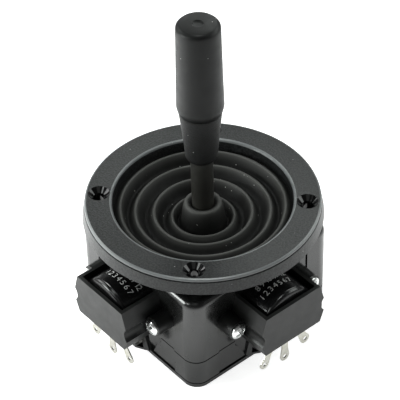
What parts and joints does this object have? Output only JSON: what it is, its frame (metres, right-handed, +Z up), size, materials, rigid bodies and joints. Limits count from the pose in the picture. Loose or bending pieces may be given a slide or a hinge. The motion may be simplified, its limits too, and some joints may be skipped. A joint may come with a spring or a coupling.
{
  "type": "industrial joystick",
  "caption": "Spring-centred two-axis panel joystick: tall round grip, rubber boot, round bezel, gimbal, bail and a potentiometer on each axis.",
  "frame": {"origin": "centre of the bezel's underside, on the face of the panel that it is screwed to", "axes": "+Z up along the lever at rest, +X out through the first potentiometer, -Y out through the second"},
  "size_m": [0.0972, 0.0972, 0.1365],
  "materials": {
    "bezel_plastic": "fine matt texture",
    "rubber": "matt",
    "body_plastic": "satin",
    "zinc_steel": "zinc plated",
    "bronze": "sintered",
    "steel": "ground",
    "spring_steel": "drawn wire",
    "pot_plastic": "gloss",
    "tinned_brass": "tinned",
    "cover_plastic": "satin",
    "cast_alloy": "die cast",
    "black_steel": "blackened",
    "white_plastic": "plain",
    "grip_plastic": "fine matt texture",
    "brass": "turned"
  },
  "bodies": {
    "housing": {"bezel": "bezel_plastic", "boot": "rubber", "upper_housing": "body_plastic", "lower_housing": "body_plastic", "base_plate": "body_plastic", "base_screws": "zinc_steel", "gate_plate": "zinc_steel", "gate_screws": "zinc_steel", "bushings_x": "bronze", "bushings_y": "bronze", "spring_pins": "steel", "centring_spring_x": "spring_steel", "centring_spring_y": "spring_steel", "pot_body_x": "pot_plastic", "pot_body_y": "pot_plastic", "pot_terminals_x": "tinned_brass", "pot_terminals_y": "tinned_brass", "pot_cover_x": "cover_plastic", "pot_cover_y": "cover_plastic", "cover_screws_x": "zinc_steel", "cover_screws_y": "zinc_steel"},
    "gimbal": {"gimbal_frame": "cast_alloy", "gimbal_shafts": "steel", "pivot_pin": "steel", "pot_rotor_x": "white_plastic"},
    "bail": {"bail": "cast_alloy", "bail_shafts": "steel", "pot_rotor_y": "white_plastic"},
    "lever": {"lever_shaft": "black_steel", "tail_sleeve": "white_plastic", "tail_clip": "steel", "grip": "grip_plastic", "grip_insert": "brass"}
  },
  "joints": [
    {"name": "gimbal_tilt", "type": "hinge", "parent": "housing", "child": "gimbal", "pos_m": [0, 0, -0.021], "axis": [1, 0, 0], "range_deg": [-20, 20], "stiffness_Nm_per_rad": 0.8, "deforming": ["centring_spring_x", "boot"]},
    {"name": "lever_tilt", "type": "hinge", "parent": "gimbal", "child": "lever", "pos_m": [0, 0, -0.021], "axis": [0, 1, 0], "range_deg": [-20, 20], "stiffness_Nm_per_rad": 0.8},
    {"name": "bail_swing", "type": "hinge", "parent": "housing", "child": "bail", "pos_m": [0, 0, -0.021], "axis": [0, 1, 0], "range_deg": [-20, 20], "deforming": ["centring_spring_y"]}
  ],
  "couplings": [
    {"joint": "bail_swing", "follows": "lever_tilt", "ratio": 1}
  ]
}
